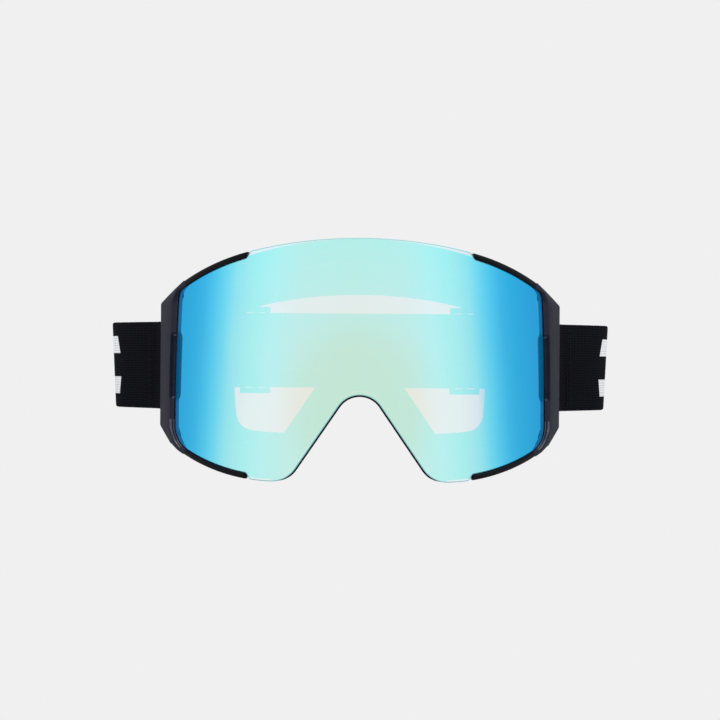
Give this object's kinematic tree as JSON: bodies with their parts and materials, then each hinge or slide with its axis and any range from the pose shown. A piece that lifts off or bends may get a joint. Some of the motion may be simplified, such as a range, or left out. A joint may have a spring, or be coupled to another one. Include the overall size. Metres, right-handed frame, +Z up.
{
  "type": "ski goggles",
  "caption": "Ski goggles with a mirrored cylindrical lens held by magnets, padded face frame, hinged strap outriggers and an elastic strap with sliding adjusters.",
  "frame": {"origin": "the point where the middle of the forehead meets the face foam, level with the middle of the lens", "axes": "+X to the right as seen from the front, +Y from the lens towards the back of the wearer's head, +Z up"},
  "size_m": [0.2378, 0.2126, 0.1007],
  "materials": {
    "lens_mirror": "mirror-coated, gloss",
    "lens_clear": "clear, gloss",
    "black_foam": "matte closed-cell foam",
    "tab_plastic": "fine grain",
    "nickel": "plated",
    "black_nylon": "fine grain",
    "black_gasket": "matte",
    "arm_plastic": "satin",
    "steel": "satin",
    "clip_plastic": "satin",
    "soft_frame": "soft matte",
    "vent_foam": "open-cell foam",
    "dense_foam": "dense foam",
    "soft_foam": "open-cell foam",
    "fleece": "brushed fleece",
    "webbing": "woven elastic",
    "silicone": "gloss silicone"
  },
  "bodies": {
    "frame": {"seat_frame": "black_nylon", "seat_magnets": "nickel", "nose_gasket": "black_gasket", "side_arm_left": "arm_plastic", "side_arm_right": "arm_plastic", "arm_screws": "steel", "hinge_pin_left": "steel", "hinge_pin_right": "steel", "face_frame": "soft_frame", "vent_foam_top": "vent_foam", "vent_foam_bottom": "vent_foam", "foam_dense": "dense_foam", "foam_soft": "soft_foam", "face_fleece": "fleece"},
    "lens": {"outer_lens": "lens_mirror", "lens_spacer": "black_foam", "inner_lens": "lens_clear", "lens_tab_left": "tab_plastic", "lens_tab_right": "tab_plastic", "lens_magnets": "nickel"},
    "outrigger_left": {"outrigger_left": "clip_plastic", "strap_near_left": "webbing"},
    "outrigger_right": {"outrigger_right": "clip_plastic", "strap_near_right": "webbing"},
    "strap": {"strap_side_left": "webbing", "strap_side_right": "webbing", "strap_back": "webbing", "strap_grip": "silicone", "strap_tail_left": "webbing", "strap_tail_right": "webbing"},
    "slider_left": {"strap_slider_left": "clip_plastic"},
    "slider_right": {"strap_slider_right": "clip_plastic"}
  },
  "joints": [
    {"name": "lens_release", "type": "slide", "parent": "frame", "child": "lens", "axis": [0, -1, 0], "range_m": [0, 0.045]},
    {"name": "strap_stretch", "type": "slide", "parent": "frame", "child": "strap", "axis": [0, 1, 0], "range_m": [0, 0.03], "stiffness_N_per_m": 300, "deforming": ["strap_side_left", "strap_side_right"]},
    {"name": "outrigger_left_swing", "type": "hinge", "parent": "frame", "child": "outrigger_left", "pos_m": [-0.084, 0.024, -0.003], "axis": [0, 0, -1], "range_deg": [-18, 12], "deforming": ["strap_near_left"]},
    {"name": "outrigger_right_swing", "type": "hinge", "parent": "frame", "child": "outrigger_right", "pos_m": [0.084, 0.024, -0.003], "axis": [0, 0, 1], "range_deg": [-18, 12], "deforming": ["strap_near_right"]},
    {"name": "slider_left_adjust", "type": "slide", "parent": "strap", "child": "slider_left", "axis": [1, 0, 0], "range_m": [0, 0.036], "deforming": ["strap_tail_left"]},
    {"name": "slider_right_adjust", "type": "slide", "parent": "strap", "child": "slider_right", "axis": [-1, 0, 0], "range_m": [0, 0.036], "deforming": ["strap_tail_right"]}
  ]
}
